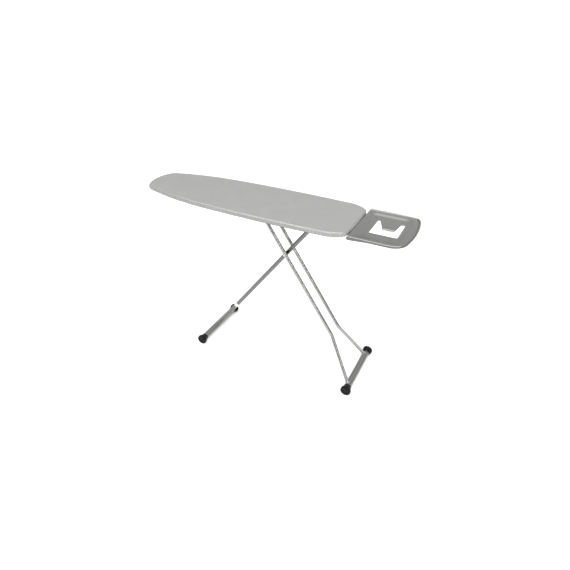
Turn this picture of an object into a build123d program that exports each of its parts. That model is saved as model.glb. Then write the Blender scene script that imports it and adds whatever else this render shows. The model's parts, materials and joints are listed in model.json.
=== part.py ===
"""Folding ironing board with a scissor leg frame and an iron tray.

Millimetres, +Z up.  The origin is on the floor under the middle of the object.
The nose points to -X, the iron tray to +X, and "near" pieces lie at -Y.
The frame is drawn open, at its highest working height.
"""

import os
from math import asin, atan2, cos, degrees, hypot, radians, sin, sqrt

from build123d import *

# ---------------------------------------------------------------- driving dimensions
TOP_Z = 900.0  # ironing surface above the floor
NOSE_X = -714.0  # tip of the board
GAP = 0.1  # play between two pieces that are fixed to each other
RUN = 0.05  # radial running clearance of a pin in its hole
SIDES = {"near": -1, "far": 1}

# Board outline: (radius, turn in degrees) of tangent arcs from the nose to the square end
OUTLINE_ARCS = (
    (190.0, 27.0),
    (62.0, 45.1),
    (1367.0, 15.05),
    (6900.0, 2.95),
    (7500.0, 2.2),
    (154.0, 34.0),
    (44.0, 53.7),
)

# Board layers, as heights of their lower and upper faces
HEM_Z = 877.5
COVER_SKIN = 2.2
HEM_WIDTH = 28.0
RIM_Z = (879.2, 887.5)
RIM_INSET = 3.0
RIM_WIDTH = 10.0
RIM_WALL = 1.2
PANEL_Z = (887.5, 888.0)
FOAM_Z = (889.0, 897.5)
FOAM_INSET = 3.4
EDGE_ROUND = 8.0  # rounding of the cover's upper edge

# Scissor frame, in the XZ plane
HINGE_Z = 853.0  # height of the inner leg's hinge and of the sliding axles
CROSS_X, CROSS_Z = 98.0, 655.0  # where the legs cross
OUTER_FOOT_X, INNER_FOOT_X = 528.0, -370.0
FOOT_Z = 27.0  # foot bar axis
OUTER_TUBE, INNER_TUBE = 18.0, 22.0  # tube diameters
TUBE_WALL = 1.2
OUTER_LEG_Y = 45.0  # the two outer legs run this far from the middle
OUTER_FOOT_Y = 138.0  # where they meet their foot bar
BEND_SHARE = 0.658  # bend of the outer legs, as a share of the way from cross to foot
BEND_RADIUS = 90.0
AXLE_OVERRUN = 8.0  # outer tube beyond its sliding axle
STEP_DOWN = 50.0  # height between two neighbouring catch notches
NOTCHES = 5
PIVOT = 8.0
PIVOT_HEAD = 14.0
PIVOT_HEAD_ROUND = 3.5
SPACER = 15.0
SLEEVE = 24.0
SLEEVE_HALF = 26.5
SLEEVE_ROUND = 1.0
BAND_AT = 222.0  # pale band, from the foot bar's axis along the inner leg
BAND_LENGTH = 24.0
BAND_WALL = 1.1
PIN_Y = (-33.6, -30.2, 34.0)  # hinge pin: outer and inner face of its head, and its end
PIN_HEAD = 16.0
PIN_HEAD_ROUND = 1.5
PIN_CHAMFER = 0.8
CLIP_DIAMETER = 17.0
PIN_CLIP_Y = (30.2, 31.8)

# Feet
FOOT_BAR = 36.0
FOOT_BAR_WALL = 1.4
FOOT_BAR_HALF = 164.0
CAP_FLOOR = 1.0  # inside of the cap beyond the bar's end
CAP_SECTION = (  # (radius, distance from the bar's middle); the rim is cut flat at the floor
    (20.0, 150.0),
    (20.0, 159.0),
    (27.4, 175.0),
    (27.4, 185.0),
    (23.4, 188.0),
    (17.4, 188.0),
    (15.4, 186.0),
)
CAP_ROUND = 2.5
FOOT_REACH = 200.0  # beyond both caps

# Sliding rails and their axles
RAIL_X = (-345.0, -8.0)
RAIL_Y = (62.0, 80.0)
RAIL_Z = (838.0, 887.5)
RAIL_WEB = 2.0
AXLE = 10.0
AXLE_END_Y = 72.5
AXLE_CLIP_Y = (68.5, 70.0)
BUSH = 15.0
BUSH_Y = (60.4, 68.0)
FLANGE = 24.0
FLANGE_Y = (64.7, 67.2)
FLANGE_ROUND = 0.8
SLOT_HEIGHT = 18.0
SLOT_RISE = 0.5  # slot centre above the axles, for their rise in mid travel
SLOT_OVERRUN = 12.0

# Height catch, a pair of toothed plates on a cross shaft
CATCH_X, CATCH_Z = -330.0, 870.0
CATCH_LIFT = 3.1  # degrees from locked to released; it is drawn released
CATCH_Y = (57.0, 59.0)
SHAFT = 8.0
SHAFT_HALF = 70.0
SHAFT_CLIP_Y = (64.6, 66.2)
SHAFT_CLIP = 14.0
LEVER_X, LEVER_Z = 22.0, 856.0  # lever rod when locked
LEVER_ROD = 7.0
LEVER_END_Y = 152.0
TIE_X, TIE_Z = -200.0, 868.0
TIE_ROD = 6.0
GRIP = 14.0
GRIP_Y = (98.0, 156.0)
GRIP_ROUND = 3.0
SPRING = 14.0
SPRING_Y = (18.0, 34.0)
SPRING_PLAY = 0.4
TOOTH_TIP_Z = 851.0
PLATE_LOW_Z, PLATE_TOP_Z = 863.0, 864.0  # waist of the catch plates ahead of their teeth
NOTCH_PLAY = 0.4
NOTCH_FLARE = 1.6
NOTCH_CORNER = 2.5

# Iron tray
TRAY_X = (450.0, 714.0)
TRAY_HALF = 178.0
TRAY_Z = (883.0, 900.0)
TRAY_CORNER = 70.0
TRAY_BOW = 640.0
SHELF_Z = 894.0
TRAY_FLOOR_Z = 886.5
SHEET = 1.5
RIM_BEAD = 9.0
STEP_INSET = 46.0
LEFT_STEP = 25.0
OPENING_X = (514.0, 644.0)
OPENING_Y = (-67.0, 77.0)
OPENING_CORNER = 10.0
TAB_BASE_X = (527.0, 623.0)
TAB_TIP_X = (562.0, 613.0)
TAB_TIP_Y = -9.0
TAB_CORNER = 6.0
TAB_LIP = 3.0  # depth of the tab's turned-down edge
RIM_ROUND = 2.8
RIVET = 5.0
RIVET_HEAD = (9.0, 1.6)  # diameter and height
RIVET_X = (498.0, 622.0)

# Flat arms that carry the tray
ARM_Y = 100.0
ARM_Z = 877.3  # upper face under the board
ARM_SHEET = 3.0
ARM_HALF_WIDTH = 11.0
ARM_CORNER = 6.0
ARM_X = (354.0, 636.0)
JOGGLE_X = (462.0, 484.0)

# Cross braces, the leg hinge's bracket and their bolts
BRACE_Z = (877.5, PANEL_Z[0])
BRACE_LIP = 8.0
BOLT = 6.0
BOLT_HEAD = 5.6  # corner radius of its hexagon
HEAD_HEIGHT = 4.0
BOLT_STAND = 4.0  # shank beyond the brace's sheet
BRACKET_HALF_X, BRACKET_HALF_Y = 20.0, 34.0
BRACKET_CORNER = 5.0
BRACKET_BOLT_X, BRACKET_BOLT_Y = 13.0, 20.0
EAR_Y = (27.0, 29.6)
EAR_SHEET = 2.5
EAR_ROUND = 12.0
EAR_FOOT = 17.0  # half width of an ear where it leaves the bracket's base
ARM_BOLT_X = 9.0

# ---------------------------------------------------------------- the frame's geometry
outer_angle = atan2(CROSS_Z - FOOT_Z, OUTER_FOOT_X - CROSS_X)
inner_angle = atan2(CROSS_Z - FOOT_Z, CROSS_X - INNER_FOOT_X)
outer_upper = (HINGE_Z - CROSS_Z) / sin(outer_angle)
inner_upper = (HINGE_Z - CROSS_Z) / sin(inner_angle)
outer_lower = hypot(CROSS_Z - FOOT_Z, OUTER_FOOT_X - CROSS_X)
inner_lower = hypot(CROSS_Z - FOOT_Z, CROSS_X - INNER_FOOT_X)
HINGE_X = CROSS_X + inner_upper * cos(inner_angle)
AXLE_X = CROSS_X - outer_upper * cos(outer_angle)
outer_along = Vector(-cos(outer_angle), 0, sin(outer_angle))
inner_along = Vector(cos(inner_angle), 0, sin(inner_angle))


def axle_x_at(drop):
    """X of the sliding axles when the board stands this much lower."""
    reach = inner_upper + inner_lower
    inner = asin((HINGE_Z - FOOT_Z - drop) / reach)
    outer = asin(inner_upper * sin(inner) / outer_upper)
    return HINGE_X - inner_upper * cos(inner) - outer_upper * cos(outer)


FOLDED_AXLE_X = HINGE_X - inner_upper - outer_upper
BRACES = {  # name: (middle X, width, half length)
    "cross_brace_front": (-470.0, 30.0, 125.0),
    "cross_brace_middle": (HINGE_X, 46.0, 150.0),
    "cross_brace_rear": (370.0, 34.0, 122.0),
}


# ---------------------------------------------------------------- helpers
def save(builder, name):
    """Label a finished piece and write its STEP file."""
    builder.part.label = name
    export_step(builder.part, f"parts/{name}.step")


def board_outline(inset):
    """Face of the board's outline, moved inwards. Used inside a BuildSketch."""
    with BuildLine() as outline:
        start, heading = Vector(NOSE_X + inset, 0), Vector(0, 1)
        for radius, turn in OUTLINE_ARCS:
            arc = JernArc(start, heading, radius - inset, -turn)
            start, heading = arc @ 1, arc % 1
        Line(start, (start.X, 0))
        mirror(about=Plane.XZ)
    make_face(outline.edges())


def board_layer(inset, bottom, top, mode=Mode.ADD):
    """Slab with the board's outline. Used inside a BuildPart."""
    with BuildSketch(Plane.XY.offset(bottom)) as layer:
        board_outline(inset)
    extrude(layer.sketch, amount=top - bottom, mode=mode)


def cross_cylinder(x, z, y_from, y_to, radius, mode=Mode.ADD):
    """Cylinder along Y. Used inside a BuildPart."""
    low, high = sorted((y_from, y_to))
    with BuildSketch(Plane((x, low, z), x_dir=(1, 0, 0), z_dir=(0, 1, 0))) as disc:
        Circle(radius)
    extrude(disc.sketch, amount=high - low, mode=mode)


def cross_ring(x, z, y_from, y_to, outer, bore):
    """Ring or bush along Y. Used inside a BuildPart."""
    cross_cylinder(x, z, y_from, y_to, outer)
    cross_cylinder(x, z, y_from, y_to, bore, Mode.SUBTRACT)


def box_between(low, high, mode=Mode.ADD):
    """Box from its two corners. Used inside a BuildPart."""
    size = [b - a for a, b in zip(low, high)]
    middle = [(a + b) / 2 for a, b in zip(low, high)]
    with Locations(tuple(middle)):
        Box(*size, mode=mode)


def round_tube(points, diameter, bend=None):
    """Tube along straight runs joined by tangent arcs. Used inside a BuildPart."""
    with BuildLine() as path:
        if bend:
            FilletPolyline(*points, radius=bend)
        else:
            Line(*points)
    with BuildSketch(Plane(path.line @ 0, z_dir=path.line % 0)) as ring:
        Circle(diameter / 2)
        Circle(diameter / 2 - TUBE_WALL, mode=Mode.SUBTRACT)
    sweep(ring.sketch, path=path.line)


# ---------------------------------------------------------------- board
def make_cover():
    """Fitted cover: top, rounded edge, side and a hem turned under the rim."""
    with BuildPart() as inside:
        board_layer(COVER_SKIN, HEM_Z + SHEET, TOP_Z - COVER_SKIN)
        fillet(inside.edges().group_by(Axis.Z)[-1], EDGE_ROUND - COVER_SKIN)
    with BuildPart() as cover:
        board_layer(0, HEM_Z, TOP_Z)
        fillet(cover.edges().group_by(Axis.Z)[-1], EDGE_ROUND)
        add(inside.part, mode=Mode.SUBTRACT)
        board_layer(HEM_WIDTH, HEM_Z, HEM_Z + SHEET, Mode.SUBTRACT)
    save(cover, "cover")


def make_foam_pad():
    """Foam between the cover and the mesh panel, with a rounded upper edge."""
    with BuildPart() as pad:
        board_layer(FOAM_INSET, *FOAM_Z)
        fillet(pad.edges().group_by(Axis.Z)[-1], EDGE_ROUND - FOAM_INSET)
    save(pad, "foam_pad")


def make_panel_and_rim():
    """Mesh panel, as a thin sheet, on a rim channel that opens inwards."""
    with BuildPart() as panel:
        board_layer(RIM_INSET, *PANEL_Z)
    save(panel, "board_panel")
    bottom, top = RIM_Z
    with BuildPart() as rim:
        board_layer(RIM_INSET, bottom, top)
        board_layer(RIM_INSET + RIM_WIDTH, bottom, top, Mode.SUBTRACT)
        board_layer(RIM_INSET + RIM_WALL, bottom + RIM_WALL, top - RIM_WALL, Mode.SUBTRACT)
    save(rim, "board_rim")


def make_brace(name):
    """Hat section across the board, with its two lips welded to the panel."""
    x, width, half = BRACES[name]
    bottom, top = BRACE_Z
    with BuildPart() as brace:
        box_between((x - width / 2, -half, bottom), (x + width / 2, half, top))
        inner = width / 2 - SHEET
        box_between((x - inner, -half, bottom + SHEET), (x + inner, half, top), Mode.SUBTRACT)
        for side in SIDES.values():
            edges = sorted((x + side * width / 2, x + side * (width / 2 + BRACE_LIP)))
            box_between((edges[0], -half, top - SHEET), (edges[1], half, top))
        fillet(brace.edges().filter_by(Axis.Y).group_by(Axis.Z)[0], SHEET)
        for hole_x, hole_y in brace_holes(name):
            with Locations((hole_x, hole_y, bottom + SHEET)):
                Hole(BOLT / 2 + GAP, depth=SHEET * 2)
    save(brace, name)


def brace_holes(name):
    """Bolt places in a cross brace."""
    if name == "cross_brace_middle":
        return [(HINGE_X + i * BRACKET_BOLT_X, j * BRACKET_BOLT_Y) for i in (-1, 1) for j in (-1, 1)]
    if name == "cross_brace_rear":
        x = BRACES[name][0]
        return [(x + i * ARM_BOLT_X, j * ARM_Y) for i in (-1, 1) for j in (-1, 1)]
    return []


def make_bracket():
    """U bracket under the middle brace that carries the inner leg's hinge pin."""
    top = BRACE_Z[0]
    with BuildPart() as bracket:
        box_between(
            (HINGE_X - BRACKET_HALF_X, -BRACKET_HALF_Y, top - EAR_SHEET),
            (HINGE_X + BRACKET_HALF_X, BRACKET_HALF_Y, top),
        )
        fillet(bracket.edges().filter_by(Axis.Z), BRACKET_CORNER)
        for side in SIDES.values():
            ear_plane = Plane((HINGE_X, side * EAR_Y[0], 0), x_dir=(1, 0, 0), z_dir=(0, side, 0))
            base, pin, half = -side * (top - EAR_SHEET), -side * HINGE_Z, EAR_ROUND
            with BuildSketch(ear_plane):
                with BuildLine():
                    Polyline((-half, pin), (-EAR_FOOT, base), (EAR_FOOT, base), (half, pin))
                    ThreePointArc((half, pin), (0, pin + side * half), (-half, pin))
                make_face()
            extrude(amount=EAR_Y[1] - EAR_Y[0])
        pin_reach = BRACKET_HALF_Y + EAR_ROUND
        cross_cylinder(HINGE_X, HINGE_Z, -pin_reach, pin_reach, AXLE / 2 + GAP, Mode.SUBTRACT)
        for hole_x, hole_y in brace_holes("cross_brace_middle"):
            with Locations((hole_x, hole_y, top)):
                Hole(BOLT / 2 + GAP, depth=EAR_SHEET * 2)
    save(bracket, "leg_hinge_bracket")


def make_hinge_pin():
    """Headed pin through the bracket and the inner leg's sleeve, and the clip on its end."""
    with BuildPart() as pin:
        cross_cylinder(HINGE_X, HINGE_Z, PIN_Y[1], PIN_Y[2], AXLE / 2)
        cross_cylinder(HINGE_X, HINGE_Z, PIN_Y[0], PIN_Y[1], PIN_HEAD / 2)
        fillet(pin.edges().filter_by(GeomType.CIRCLE).group_by(Axis.Y)[0], PIN_HEAD_ROUND)
        chamfer(pin.edges().filter_by(GeomType.CIRCLE).group_by(Axis.Y)[-1], PIN_CHAMFER)
    save(pin, "leg_hinge_pin")
    with BuildPart() as clip:
        cross_ring(HINGE_X, HINGE_Z, *PIN_CLIP_Y, CLIP_DIAMETER / 2, AXLE / 2 + GAP)
    save(clip, "leg_hinge_clip")


def bolt_group(places, head_z, shank_top):
    """Hex bolts that point up, one separate solid at each place."""
    with BuildPart() as bolts:
        for x, y in places:
            with BuildSketch(Plane((x, y, head_z))):
                RegularPolygon(BOLT_HEAD, 6)
            extrude(amount=HEAD_HEIGHT)
            with BuildSketch(Plane((x, y, head_z + HEAD_HEIGHT))):
                Circle(BOLT / 2)
            extrude(amount=shank_top - head_z - HEAD_HEIGHT)
    return bolts


def make_bolts():
    """Bolts that hold the hinge bracket and the tray arms to their braces."""
    top = BRACE_Z[0] + SHEET + BOLT_STAND
    bracket_face, arm_face = BRACE_Z[0] - EAR_SHEET, ARM_Z - ARM_SHEET
    bracket = bolt_group(brace_holes("cross_brace_middle"), bracket_face - HEAD_HEIGHT, top)
    save(bracket, "bracket_bolts")
    arms = bolt_group(brace_holes("cross_brace_rear"), arm_face - HEAD_HEIGHT, top)
    save(arms, "tray_arm_bolts")


# ---------------------------------------------------------------- rails
def make_rail(name, side):
    """Channel that opens outwards, with the axle's long slot in its web."""
    low_y, high_y = RAIL_Y
    bottom, top = RAIL_Z
    profile = [
        (low_y, bottom),
        (high_y, bottom),
        (high_y, bottom + RAIL_WEB),
        (low_y + RAIL_WEB, bottom + RAIL_WEB),
        (low_y + RAIL_WEB, top - RAIL_WEB),
        (high_y, top - RAIL_WEB),
        (high_y, top),
        (low_y, top),
    ]
    slot_start, slot_end = FOLDED_AXLE_X - SLOT_OVERRUN, AXLE_X + SLOT_OVERRUN
    slot_centre = ((slot_start + slot_end) / 2, 0, HINGE_Z + SLOT_RISE)
    with BuildPart() as rail:
        with BuildSketch(Plane.YZ.offset(RAIL_X[0])) as section:
            with BuildLine():
                Polyline(*[(side * y, z) for y, z in profile], close=True)
            make_face()
            outer = [v for v in section.vertices() if abs(abs(v.Y) - low_y) < GAP]
            fillet(outer, RAIL_WEB * 1.5)
        extrude(amount=RAIL_X[1] - RAIL_X[0])
        with BuildSketch(Plane(slot_centre, x_dir=(1, 0, 0), z_dir=(0, side, 0))):
            SlotOverall(slot_end - slot_start, SLOT_HEIGHT)
        extrude(amount=low_y + RAIL_WEB * 2, mode=Mode.SUBTRACT)
        cross_cylinder(CATCH_X, CATCH_Z, 0, side * SHAFT_HALF, SHAFT / 2 + RUN, Mode.SUBTRACT)
    save(rail, name)


# ---------------------------------------------------------------- height catch
catch_plane = Plane(
    (CATCH_X, 0, CATCH_Z),
    x_dir=(cos(radians(CATCH_LIFT)), 0, sin(radians(CATCH_LIFT))),
    z_dir=(0, -1, 0),
)


def locked(x, z):
    """Sketch point of a place given where it is when the catch is locked."""
    return (x - CATCH_X, z - CATCH_Z)


def make_catch_plate(name, side):
    """Toothed plate: drawn in its locked place, set in its released one."""
    notch_half = AXLE / 2 + NOTCH_PLAY
    mouth, notch_top = notch_half + NOTCH_FLARE, HINGE_Z + notch_half
    end_x, last_x = LEVER_X + LEVER_ROD, axle_x_at((NOTCHES - 1) * STEP_DOWN)
    outline = [(end_x, PLATE_TOP_Z), (end_x, LEVER_Z - 6), (LEVER_X - 9, LEVER_Z - 6)]
    outline += [(LEVER_X - 14, PLATE_LOW_Z), (-20, PLATE_LOW_Z), (-24, TOOTH_TIP_Z)]
    for notch in range(NOTCHES):
        x = axle_x_at(notch * STEP_DOWN)
        outline += [
            (x + mouth, TOOTH_TIP_Z),
            (x + notch_half, HINGE_Z + 1),
            (x + notch_half - NOTCH_CORNER, notch_top),
            (x - notch_half + NOTCH_CORNER, notch_top),
            (x - notch_half, HINGE_Z + 1),
            (x - mouth, TOOTH_TIP_Z),
        ]
    outline += [(last_x - 12, TOOTH_TIP_Z), (last_x - 17, PLATE_LOW_Z - 0.5)]
    outline += [(CATCH_X - 2, PLATE_LOW_Z), (CATCH_X - 8, CATCH_Z - 4)]
    outline += [(CATCH_X - 8, CATCH_Z + 4), (CATCH_X - 2, CATCH_Z + 7)]
    low, high = CATCH_Y
    start = -high if side > 0 else low
    with BuildPart() as plate:
        with BuildSketch(catch_plane.offset(start)):
            with BuildLine():
                Polyline(*[locked(x, z) for x, z in outline], close=True)
            make_face()
            Circle(SHAFT / 2 + GAP / 2, mode=Mode.SUBTRACT)
        extrude(amount=high - low)
    save(plate, name)


def released(x, z):
    """Where a place of the locked catch stands when it is released."""
    return catch_plane.from_local_coords(Vector(*locked(x, z), 0))


def make_catch_rods():
    """Shaft, tie rod, lever rod with its grip, clips and the return spring's place."""
    with BuildPart() as shaft:
        cross_cylinder(CATCH_X, CATCH_Z, -SHAFT_HALF, SHAFT_HALF, SHAFT / 2)
        chamfer(shaft.edges().filter_by(GeomType.CIRCLE), PIN_CHAMFER)
    save(shaft, "catch_shaft")
    with BuildPart() as clips:
        for side in SIDES.values():
            inner, outer = (side * y for y in SHAFT_CLIP_Y)
            cross_ring(CATCH_X, CATCH_Z, inner, outer, SHAFT_CLIP / 2, SHAFT / 2 + GAP / 2)
    save(clips, "catch_shaft_clips")
    tie = released(TIE_X, TIE_Z)
    with BuildPart() as tie_rod:
        cross_cylinder(tie.X, tie.Z, -CATCH_Y[0], CATCH_Y[0], TIE_ROD / 2)
    save(tie_rod, "catch_tie_rod")
    rod = released(LEVER_X, LEVER_Z)
    with BuildPart() as lever:
        cross_cylinder(rod.X, rod.Z, CATCH_Y[1], LEVER_END_Y, LEVER_ROD / 2)
    save(lever, "release_lever")
    with BuildPart() as grip:
        cross_cylinder(rod.X, rod.Z, *GRIP_Y, GRIP / 2)
        fillet(grip.edges().filter_by(GeomType.CIRCLE), GRIP_ROUND)
        bore = LEVER_ROD / 2 + GAP / 2
        cross_cylinder(rod.X, rod.Z, GRIP_Y[0], LEVER_END_Y, bore, Mode.SUBTRACT)
    save(grip, "lever_grip")
    with BuildPart() as spring:
        cross_ring(CATCH_X, CATCH_Z, *SPRING_Y, SPRING / 2, SHAFT / 2 + SPRING_PLAY)
    save(spring, "catch_spring")


# ---------------------------------------------------------------- legs
def axis_point(start, along, distance, y=0.0):
    """Point of a leg's axis, from the cross towards the foot or the top."""
    return Vector(start[0], y, start[1]) + along * distance


def make_outer_leg(name, side):
    """Bent tube from its sliding axle through the cross to the outer foot bar."""
    cross = (CROSS_X, CROSS_Z)
    y = side * OUTER_LEG_Y
    points = [
        axis_point(cross, outer_along, outer_upper + AXLE_OVERRUN, y),
        axis_point(cross, outer_along, -BEND_SHARE * outer_lower, y),
        (OUTER_FOOT_X, side * OUTER_FOOT_Y, FOOT_Z),
    ]
    with BuildPart() as leg:
        round_tube(points, OUTER_TUBE, BEND_RADIUS)
        reach = side * FOOT_REACH
        cross_cylinder(OUTER_FOOT_X, FOOT_Z, 0, reach, FOOT_BAR / 2 + GAP, Mode.SUBTRACT)
        cross_cylinder(CROSS_X, CROSS_Z, 0, reach, PIVOT / 2 + GAP, Mode.SUBTRACT)
        cross_cylinder(AXLE_X, HINGE_Z, 0, reach, AXLE / 2 + GAP, Mode.SUBTRACT)
    save(leg, name)


def make_inner_leg():
    """Straight middle tube, its hinge sleeve and a pale marker band."""
    with BuildPart() as leg:
        round_tube([(HINGE_X, 0, HINGE_Z), (INNER_FOOT_X, 0, FOOT_Z)], INNER_TUBE)
        reach = INNER_TUBE
        cross_cylinder(HINGE_X, HINGE_Z, -reach, reach, SLEEVE / 2 + GAP, Mode.SUBTRACT)
        cross_cylinder(INNER_FOOT_X, FOOT_Z, -reach, reach, FOOT_BAR / 2 + GAP, Mode.SUBTRACT)
        cross_cylinder(CROSS_X, CROSS_Z, -reach, reach, PIVOT / 2 + RUN, Mode.SUBTRACT)
    save(leg, "inner_leg_tube")
    with BuildPart() as sleeve:
        cross_ring(HINGE_X, HINGE_Z, -SLEEVE_HALF, SLEEVE_HALF, SLEEVE / 2, AXLE / 2 + RUN)
        fillet(sleeve.edges().filter_by(GeomType.CIRCLE).group_by(SortBy.RADIUS)[-1], SLEEVE_ROUND)
    save(sleeve, "inner_leg_sleeve")
    band_plane = Plane(
        axis_point((INNER_FOOT_X, FOOT_Z), inner_along, BAND_AT),
        x_dir=(0, 1, 0),
        z_dir=inner_along,
    )
    with BuildPart() as band:
        with BuildSketch(band_plane):
            Circle(INNER_TUBE / 2 + GAP + BAND_WALL)
            Circle(INNER_TUBE / 2 + GAP, mode=Mode.SUBTRACT)
        extrude(amount=BAND_LENGTH)
    save(band, "leg_band")


def make_foot(prefix, x):
    """Foot bar with a flared cap on each end."""
    with BuildPart() as bar:
        cross_ring(x, FOOT_Z, -FOOT_BAR_HALF, FOOT_BAR_HALF, FOOT_BAR / 2, FOOT_BAR / 2 - FOOT_BAR_WALL)
    save(bar, f"{prefix}_foot_bar")
    for word, side in SIDES.items():
        bore, bar_end = FOOT_BAR / 2 + GAP, FOOT_BAR_HALF + CAP_FLOOR
        section = [(bore, bar_end), (bore, CAP_SECTION[0][1]), *CAP_SECTION]
        section += [(0, CAP_SECTION[-1][1]), (0, bar_end)]
        with BuildPart() as cap:
            with BuildSketch(Plane((x, 0, FOOT_Z), x_dir=(1, 0, 0), z_dir=(0, 0, 1))):
                with BuildLine():
                    Polyline(*[(radius, side * y) for radius, y in section], close=True)
                make_face()
            revolve(axis=Axis((x, 0, FOOT_Z), (0, 1, 0)))
            rims = cap.edges().filter_by(GeomType.CIRCLE).group_by(SortBy.RADIUS)[-1]
            fillet(rims, CAP_ROUND)
            low, high = (x - FOOT_BAR, -FOOT_REACH, -CAP_ROUND), (x + FOOT_BAR, FOOT_REACH, 0)
            box_between(low, high, Mode.SUBTRACT)
        save(cap, f"{prefix}_foot_cap_{word}")


def make_cross_joint():
    """Pivot bolt and nut through all three tubes, with a spacer in each gap."""
    inner_face, outer_face = OUTER_LEG_Y - OUTER_TUBE / 2, OUTER_LEG_Y + OUTER_TUBE / 2
    seat = outer_face + 0.6  # heads stand off the round tubes by this much
    head = PIVOT_HEAD / 2
    with BuildPart() as bolt:
        cross_cylinder(CROSS_X, CROSS_Z, -outer_face - 1, outer_face + 4, PIVOT / 2)
        cross_cylinder(CROSS_X, CROSS_Z, -outer_face - 5.5, -seat, head)
        fillet(bolt.edges().filter_by(GeomType.CIRCLE).group_by(Axis.Y)[0], PIVOT_HEAD_ROUND)
    save(bolt, "pivot_bolt")
    with BuildPart() as nut:
        cross_cylinder(CROSS_X, CROSS_Z, seat, outer_face + 6, head)
        fillet(nut.edges().filter_by(GeomType.CIRCLE).group_by(Axis.Y)[-1], PIVOT_HEAD_ROUND)
        cross_cylinder(CROSS_X, CROSS_Z, outer_face, outer_face + 4.2, PIVOT / 2 + GAP, Mode.SUBTRACT)
    save(nut, "pivot_nut")
    for word, side in SIDES.items():
        with BuildPart() as spacer:
            start, end = side * SPACER / 3, side * (inner_face - 0.5)
            cross_ring(CROSS_X, CROSS_Z, start, end, SPACER / 2, PIVOT / 2 + RUN)
            with BuildSketch(Plane((CROSS_X, 0, CROSS_Z), z_dir=inner_along)):
                Circle(INNER_TUBE / 2 + GAP)
            extrude(amount=2 * SPACER, both=True, mode=Mode.SUBTRACT)
        save(spacer, f"pivot_spacer_{word}")


def make_slide_axle(word, side):
    """Sliding axle with its flanged bush."""
    start = side * (OUTER_LEG_Y - OUTER_TUBE / 2 + 0.5)
    with BuildPart() as axle:
        cross_cylinder(AXLE_X, HINGE_Z, start, side * AXLE_END_Y, AXLE / 2)
        chamfer(axle.edges().filter_by(GeomType.CIRCLE), PIN_CHAMFER)
    save(axle, f"slide_axle_{word}")
    with BuildPart() as bush:
        cross_cylinder(AXLE_X, HINGE_Z, side * BUSH_Y[0], side * BUSH_Y[1], BUSH / 2)
        cross_cylinder(AXLE_X, HINGE_Z, side * FLANGE_Y[0], side * FLANGE_Y[1], FLANGE / 2)
        fillet(bush.edges().filter_by(GeomType.CIRCLE).group_by(SortBy.RADIUS)[-1], FLANGE_ROUND)
        cross_cylinder(AXLE_X, HINGE_Z, 0, side * RAIL_Y[1], AXLE / 2 + GAP, Mode.SUBTRACT)
    save(bush, f"slide_bush_{word}")


def make_axle_clips():
    """Clips that keep the bushes on their axles."""
    with BuildPart() as clips:
        for side in SIDES.values():
            inner, outer = (side * y for y in AXLE_CLIP_Y)
            cross_ring(AXLE_X, HINGE_Z, inner, outer, CLIP_DIAMETER / 2, AXLE / 2 + GAP)
    save(clips, "slide_axle_clips")


# ---------------------------------------------------------------- iron tray
def tray_outline(inset, left_x):
    """Tray outline moved inwards on three sides. Used inside a BuildSketch."""
    bow_x = TRAY_X[1] - TRAY_BOW
    corner_y = TRAY_HALF - TRAY_CORNER
    reach = TRAY_BOW - TRAY_CORNER
    corner_x = bow_x + sqrt(reach**2 - corner_y**2)
    half, radius = TRAY_HALF - inset, TRAY_CORNER - inset
    blend = atan2(corner_y, corner_x - bow_x)
    middle = (blend + radians(90)) / 2
    on_corner = (corner_x + radius * cos(middle), corner_y + radius * sin(middle))
    on_bow = (corner_x + radius * cos(blend), corner_y + radius * sin(blend))
    with BuildLine() as outline:
        Line((left_x, 0), (left_x, half))
        Line((left_x, half), (corner_x, half))
        ThreePointArc((corner_x, half), on_corner, on_bow)
        ThreePointArc(on_bow, (TRAY_X[1] - inset, 0), (on_bow[0], -on_bow[1]))
        ThreePointArc((on_bow[0], -on_bow[1]), (on_corner[0], -on_corner[1]), (corner_x, -half))
        Line((corner_x, -half), (left_x, -half))
        Line((left_x, -half), (left_x, 0))
    make_face(outline.edges())


def tray_layer(inset, left_x, bottom, top, hole_inset=None):
    """Slab or ring cut out of the tray. Used inside a BuildPart."""
    with BuildSketch(Plane.XY.offset(bottom)) as layer:
        tray_outline(inset, left_x)
        if hole_inset:
            with BuildSketch(mode=Mode.SUBTRACT):
                tray_outline(hole_inset, TRAY_X[0] + LEFT_STEP - SHEET)
    extrude(layer.sketch, amount=top - bottom, mode=Mode.SUBTRACT)


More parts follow.
